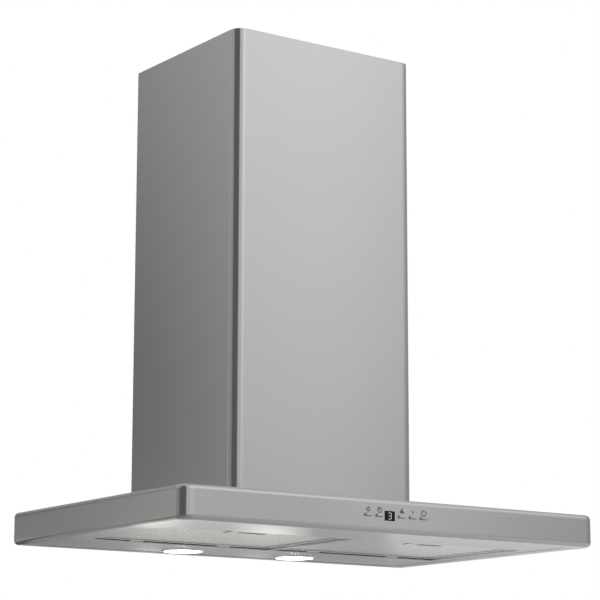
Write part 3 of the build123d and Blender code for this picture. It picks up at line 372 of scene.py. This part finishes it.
def bar_stroke(form, start, end, width):
    """A flat straight stroke on the fascia between two points."""
    (x0, z0), (x1, z1) = start, end
    length = math.hypot(x1 - x0, z1 - z0)
    turn = Matrix.Rotation(-math.atan2(z1 - z0, x1 - x0), 4, "Y")
    place = Matrix.Translation(((x0 + x1) / 2, 0, (z0 + z1) / 2)) @ turn
    upright = Matrix.Rotation(math.pi / 2, 4, "X")
    size = Matrix.Diagonal((length, width, 1, 1))
    bmesh.ops.create_grid(form, x_segments=1, y_segments=1, size=0.5, matrix=place @ upright @ size)


def stand_proud(form, rear, depth):
    """The flat strokes moved to the plane y = rear and given a small depth towards the room."""
    bmesh.ops.translate(form, verts=form.verts, vec=(0, rear - depth, 0))
    grown = bmesh.ops.extrude_face_region(form, geom=list(form.faces), use_keep_orig=True)
    corners = [item for item in grown["geom"] if isinstance(item, bmesh.types.BMVert)]
    bmesh.ops.translate(form, verts=corners, vec=(0, depth, 0))


def offset_mm(middle, x, z):
    """A point on the fascia in metres, from an offset in millimetres about a middle."""
    return middle[0] + x / 1000, middle[1] + z / 1000


def key_sign(name, key, strokes):
    """A printed sign above one key, from its strokes in millimetres about the sign's middle."""
    low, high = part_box(key)
    middle = ((low.x + high.x) / 2, CONTROL_Z + SIGN_RISE)
    form = bmesh.new()
    for kind, x, z, *rest in strokes:
        if kind == "arc":
            radius, start, sweep = rest
            arc_stroke(form, offset_mm(middle, x, z), radius / 1000, start, sweep, SIGN_STROKE)
        else:
            bar_stroke(form, offset_mm(middle, x, z), offset_mm(middle, *rest), SIGN_STROKE)
    stand_proud(form, FASCIA_Y, SIGN_DEPTH)
    piece(name, form, sign_ink, "hood")


def polar(radius, angle):
    """A point at a distance from the sign's middle, with its angle in radians."""
    return radius * math.cos(angle), radius * math.sin(angle)


# Printed signs of the five keys: arcs by middle, radius, start and sweep, bars by their two ends
ray_angles = [index * math.pi / 4 for index in range(8)]
sun_rays = [("bar", *polar(3.5, angle), *polar(4.1, angle)) for angle in ray_angles]
key_sign("light_sign", "key_light", [("arc", 0, 0, 2.5, 0, 360), *sun_rays])
clock_hands = [("bar", 0, -0.4, 0, 2.6), ("bar", 0.4, 0, -2.3, 0)]
key_sign("timer_sign", "key_timer", [("arc", 0, 0, 4.0, 0, 360), *clock_hands])
fan_blades = []
for lead in (1.8, 3.9, 6.0):
    tip = polar(3.9, lead)
    heel = polar(3.3, lead - 0.8)
    fan_blades += [("bar", 0, 0, *tip), ("bar", *tip, *heel), ("bar", *heel, 0, 0)]
key_sign("speed_sign", "key_speed", fan_blades)
key_sign("boost_sign", "key_boost", [("bar", -1.1, 2.0, 1.1, 0), ("bar", -1.1, -2.0, 1.1, 0)])
key_sign("power_sign", "key_power", [("arc", 0, -0.4, 4.4, 122, 296), ("bar", 0, 1.2, 0, 5.0)])

# Lit digit on the display window's face, from bars in millimetres
window_low, window_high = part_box("display_window")
digit_middle = ((window_low.x + window_high.x) / 2, CONTROL_Z)
digit_bars = (
    ((-2.5, 4.6), (2.4, 4.6)),
    ((-2.0, 0), (2.4, 0)),
    ((-2.5, -4.6), (2.4, -4.6)),
    ((2.9, 0.4), (2.9, 4.3)),
    ((2.9, -4.3), (2.9, -0.4)),
)
digit_form = bmesh.new()
for start, end in digit_bars:
    bar_stroke(digit_form, offset_mm(digit_middle, *start), offset_mm(digit_middle, *end), DIGIT_STROKE)
stand_proud(digit_form, window_low.y, SIGN_DEPTH)
piece("display_digit", digit_form, digit_glow, "hood")


# Expanded mesh of the grease filters
def panel_grid(form, low, high, z, columns, rows):
    """A level grid of cells between two corners, at a height."""
    place = Matrix.Translation(((low.x + high.x) / 2, (low.y + high.y) / 2, z))
    size = Matrix.Diagonal((high.x - low.x, high.y - low.y, 1, 1))
    return bmesh.ops.create_grid(form, x_segments=columns, y_segments=rows, size=0.5, matrix=place @ size)


def expanded_layer(form, low, high, z, tilt):
    """One layer of diamonds between two corners, cut from a grid of cells."""
    columns = round((high.x - low.x) / MESH_CELL_X)
    rows = round((high.y - low.y) / MESH_CELL_Y)
    corners = set(panel_grid(form, low, high, z, columns, rows)["verts"])
    cells = [face for face in form.faces if face.verts[0] in corners]
    bmesh.ops.poke(form, faces=cells)
    sides = [edge for edge in form.edges
             if not edge.is_boundary and edge.verts[0] in corners and edge.verts[1] in corners]
    bmesh.ops.dissolve_edges(form, edges=sides, use_verts=False, use_face_split=False)
    diamonds = [face for face in form.faces if abs(face.calc_center_median().z - z) < LEVEL_GAP]
    bmesh.ops.inset_individual(form, faces=diamonds, thickness=MESH_STRAND / 2, depth=tilt,
                               use_even_offset=True)
    bmesh.ops.delete(form, geom=diamonds, context="FACES")


def filter_weave(side):
    """Fine expanded mesh on both faces of a filter over its dense inner layer, open round its latch."""
    node = f"filter_mesh_{side}"
    low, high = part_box(node)
    latch_low, latch_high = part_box(f"filter_latch_{side}")
    form = bmesh.new()
    expanded_layer(form, low, high, low.z + MESH_SINK, MESH_TILT)
    expanded_layer(form, low, high, high.z - MESH_SINK, -MESH_TILT)
    panel_grid(form, low, high, (low.z + high.z) / 2, CORE_CELLS, CORE_CELLS)
    hidden = []
    for face in form.faces:
        middle = face.calc_center_median()
        beside = latch_low.x - LATCH_MARGIN < middle.x < latch_high.x + LATCH_MARGIN
        if beside and middle.y < latch_high.y + LATCH_MARGIN:
            hidden.append(face)
    bmesh.ops.delete(form, geom=hidden, context="FACES")
    made = piece(f"filter_weave_{side}", form, finishes["filter_aluminium"], f"filter_{side}")
    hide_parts(node)


filter_weave("left")
filter_weave("right")


# Studio cards
def studio_flat(name, corner, across, up, material):
    """A flat card from a corner and two sides, which only reflections show."""
    corner, across, up = Vector(corner), Vector(across), Vector(up)
    form = bmesh.new()
    corners = (corner, corner + across, corner + across + up, corner + up)
    form.faces.new([form.verts.new(place) for place in corners])
    flat = mesh_object(name, form, material)
    flat.visible_camera = False
    flat.visible_shadow = False
    flat.visible_diffuse = False


def glow_material(name, tint):
    """A material that only gives light, with its tree, object coordinates and emission."""
    material, tree, shader = new_material(name)
    tree.nodes.remove(shader)
    coords = tree.nodes.new("ShaderNodeTexCoord")
    glow = tree.nodes.new("ShaderNodeEmission")
    glow.inputs["Color"].default_value = (*tint, 1)
    return material, tree, coords.outputs["Object"], glow


def grey_glow(name, base, slope=(0, 0, 0), least=0.2, crest=(0, 0, 1), tint=WHITE):
    """Light graded along each axis, with a least strength and a soft crest by height, X and reach."""
    crest_height, crest_x, crest_reach = crest
    material, tree, place, glow = glow_material(name, tint)
    graded = vector_step(tree, "DOT_PRODUCT", place, slope).outputs["Value"]
    split = tree.nodes.new("ShaderNodeSeparateXYZ")
    tree.links.new(place, split.inputs["Vector"])
    rise = soft_step(tree, split.outputs["X"], crest_x - crest_reach, crest_x, 0, crest_height)
    fall = soft_step(tree, split.outputs["X"], crest_x, crest_x + crest_reach, 0, -crest_height)
    strength = calculate(tree, "ADD", graded, base)
    strength = calculate(tree, "ADD", rise, strength)
    strength = calculate(tree, "ADD", fall, strength)
    strength = calculate(tree, "MAXIMUM", strength, least)
    tree.links.new(strength, glow.inputs["Strength"])
    tree.links.new(glow.outputs["Emission"], tree.nodes["Material Output"].inputs["Surface"])
    return material


def spill_glow(name, strength, centre, reach):
    """Warm light round a centre that fades out along each axis and is clear beyond its reach."""
    material, tree, place, glow = glow_material(name, WARM)
    glow.inputs["Strength"].default_value = strength
    offset = vector_step(tree, "SUBTRACT", place, centre).outputs["Vector"]
    scaled = vector_step(tree, "DIVIDE", offset, reach).outputs["Vector"]
    distance = vector_step(tree, "LENGTH", scaled).outputs["Value"]
    fade = soft_step(tree, distance, start=0, end=1, before=1, after=0)
    clear = tree.nodes.new("ShaderNodeBsdfTransparent")
    surface_mix(tree, fade, clear.outputs["BSDF"], glow.outputs["Emission"])
    return material


# Cards in front on the right, on the right, behind, and behind on the left
studio_flat("room_flat", (0.35, -3.5, FOOT), (3.25, 1.8, 0), TALL,
            grey_glow("room_flat_glow", base=0.73, slope=(-0.125, 0, 0.25), least=0.3,
                      crest=(0.17, 1.74, 0.34)))
studio_flat("right_flat", (3.6, -1.7, FOOT), (-1.0, 4.5, 0), TALL,
            grey_glow("right_flat_glow", base=0.36, slope=(0, 0, 0.04)))
studio_flat("back_flat", (2.6, 2.8, FOOT), (-3.3, 0.6, 0), TALL,
            grey_glow("back_flat_glow", base=0.68, slope=(0.05, 0, -0.26), least=0.34))
studio_flat("side_flat", (-1.6, 2.909, FOOT), (-0.7, -0.382, 0), TALL,
            grey_glow("side_flat_glow", base=-1.052, slope=(-0.62, 0, 0.15), least=0.14))
studio_flat("edge_flat", (-2.3, 2.527, FOOT), (-0.6, -0.327, 0), TALL,
            grey_glow("edge_flat_glow", base=0.435, slope=(0, 0, 0.054)))
studio_flat("wing_flat", (-0.7, 3.4, FOOT), (-0.9, -0.491, 0), TALL,
            grey_glow("wing_flat_glow", base=-0.05, slope=(0, 0, 0.27), least=0.14))
studio_flat("low_flat", (-0.72, 3.36, FOOT), (-2.16, -1.18, 0), (0, 0, 1.05),
            grey_glow("low_flat_glow", base=-0.12, slope=(-0.27, 0, 0), least=0.3))

# Cards close behind the hood, for the lamp strip and the rest of the underside
studio_flat("under_flat", (-0.12, REAR_Y, -0.29), (1.32, 0, 0), (0, 0, 0.054),
            grey_glow("under_flat_glow", base=3.775, slope=(0, 0, 12.96), least=0.1))
studio_flat("under_left_flat", (-0.6, REAR_Y, -0.29), (0.48, 0, 0), (0, 0, 0.054),
            grey_glow("under_left_flat_glow", base=3.847, slope=(0.6, 0, 12.96), least=0.1))
studio_flat("pan_flat", (-0.08, REAR_Y, -0.6), (1.28, 0, 0), (0, 0, 0.31),
            grey_glow("pan_flat_glow", base=-0.06, slope=(0, 0, -2.2), tint=PALE_WARM))
studio_flat("pan_left_flat", (-0.6, REAR_Y, -0.6), (0.52, 0, 0), (0, 0, 0.31),
            grey_glow("pan_left_flat_glow", base=0.068, slope=(1.6, 0, -2.2), least=0.33, tint=PALE_WARM))
studio_flat("pan_dim_flat", (0.235, 0.05, -0.6), (0.18, 0, 0), (0, 0, 0.3),
            grey_glow("pan_dim_flat_glow", base=0.5))

# Small cards for the lamps' light on the underside: its front rim and the strip beside the lamps
studio_flat("left_spill_flat", (-0.285, -0.12, -0.356), (0.2, 0, 0), (0, 0, 0.052),
            grey_glow("left_spill_glow", base=0.72, crest=(0.15, -0.18, 0.09), tint=WARM))
studio_flat("right_spill_flat", (-0.085, -0.12, -0.356), (0.185, 0, 0), (0, 0, 0.052),
            grey_glow("right_spill_glow", base=0.72, crest=(0.2, 0.01, 0.075), tint=WARM))
studio_flat("left_rim_flat", (-0.44, -0.36, -0.32), (0.18, 0, 0), (0, 0, 0.0815),
            spill_glow("left_rim_glow", strength=1.3, centre=(-0.348, -0.36, -0.268),
                       reach=(0.085, 1, 0.045)))
studio_flat("right_rim_flat", (-0.25, -0.396, -0.3), (0.18, 0, 0), (0, 0, 0.0625),
            spill_glow("right_rim_glow", strength=1.22, centre=(-0.162, -0.396, -0.245),
                       reach=(0.085, 1, 0.045)))
studio_flat("left_glint_flat", (-0.19, 0.055, -0.26), (0.16, 0, 0), (0, 0, 0.024),
            spill_glow("left_glint_glow", strength=2.1, centre=(-0.108, 0.055, -0.244),
                       reach=(0.06, 1, 0.012)))
studio_flat("right_glint_flat", (0.03, 0.055, -0.26), (0.16, 0, 0), (0, 0, 0.024),
            spill_glow("right_glint_glow", strength=1.7, centre=(0.112, 0.055, -0.244),
                       reach=(0.06, 1, 0.012)))

# Cards on the left and in front, then the ceiling and the ground
studio_flat("left_flat", (-2.9, 2.2, FOOT), (0.2, -2.3, 0), TALL,
            grey_glow("left_flat_glow", base=0.31, slope=(0, 0, 0.1)))
studio_flat("dark_flag", (-2.7, -0.1, FOOT), (1.0, -2.1, 0), TALL,
            grey_glow("dark_flag_glow", base=0.13, least=0.1))
studio_flat("near_flat", (-1.7, -2.2, FOOT), (1.15, -0.77, 0), TALL,
            grey_glow("near_flat_glow", base=0.62, slope=(0, 0, 0.07)))
studio_flat("bright_flat", (-0.55, -2.97, FOOT), (0.9, -0.53, 0), TALL,
            grey_glow("bright_flat_glow", base=0.68, slope=(0, 0, 0.33)))
studio_flat("ceiling_flat", (-3.6, -4.0, 2.77), (7.2, 0, 0), (0, 7.6, 0),
            grey_glow("ceiling_flat_glow", base=0.6, slope=(0.03, -0.02, 0)))
studio_flat("ground_flat", (-3.6, -4.0, FOOT), (7.2, 0, 0), (0, 7.6, 0),
            grey_glow("ground_flat_glow", base=0.4, slope=(0.16, 0, 0)))

# Floor, clear from below
floor_form = bmesh.new()
bmesh.ops.create_grid(floor_form, x_segments=1, y_segments=1, size=FLOOR_HALF,
                      matrix=Matrix.Translation((0, 0, FLOOR_Z)))
floor_material, floor_tree, floor_shader = new_material("floor_paint")
floor_shader.inputs["Base Color"].default_value = (0.86, 0.86, 0.855, 1)
floor_shader.inputs["Roughness"].default_value = 0.85
floor_side = floor_tree.nodes.new("ShaderNodeNewGeometry")
floor_clear = floor_tree.nodes.new("ShaderNodeBsdfTransparent")
surface_mix(floor_tree, floor_side.outputs["Backfacing"], floor_shader.outputs["BSDF"],
            floor_clear.outputs["BSDF"])
floor = mesh_object("floor", floor_form, floor_material)

# Surroundings: white to the camera and to reflections, softer as a light
world = bpy.data.worlds.new("studio")
scene.world = world
world.use_nodes = True
sky = world.node_tree
sky_light = sky.nodes["Background"]
path = sky.nodes.new("ShaderNodeLightPath")
seen = calculate(sky, "MAXIMUM", path.outputs["Is Camera Ray"], path.outputs["Is Glossy Ray"])
shown = calculate(sky, "MAXIMUM", seen, path.outputs["Is Transmission Ray"])
strength = soft_step(sky, shown, start=0, end=1, before=0.65, after=1.0)
sky.links.new(strength, sky_light.inputs["Strength"])
sky_light.inputs["Color"].default_value = (*WHITE, 1)


def soft_light(name, place, aim, size, power):
    """A large area light aimed at a point and kept out of reflections."""
    lamp = bpy.data.lights.new(name, "AREA")
    lamp.size = size
    lamp.energy = power
    holder = bpy.data.objects.new(name, lamp)
    holder.location = place
    holder.rotation_euler = (Vector(aim) - Vector(place)).to_track_quat("-Z", "Y").to_euler()
    holder.visible_glossy = False
    scene.collection.objects.link(holder)


soft_light("main_light", (-1.8, -2.6, 2.2), aim=(0, -0.25, 0.1), size=2.2, power=60)
soft_light("fill_light", (2.4, -2.0, 0.6), aim=(0, -0.25, 0.0), size=2.0, power=25)

# Camera at the photograph's place
camera = bpy.data.cameras.new("camera")
camera.sensor_width = 36.0
camera.lens = 132.98
camera.clip_end = 60.0
viewer = bpy.data.objects.new("camera", camera)
viewer.location = (-2.0876, -3.2408, -0.5639)
viewer.rotation_euler = (math.pi / 2 + 0.2, -0.0018, -0.6084)
scene.collection.objects.link(viewer)
scene.camera = viewer
scene.view_settings.view_transform = "Standard"
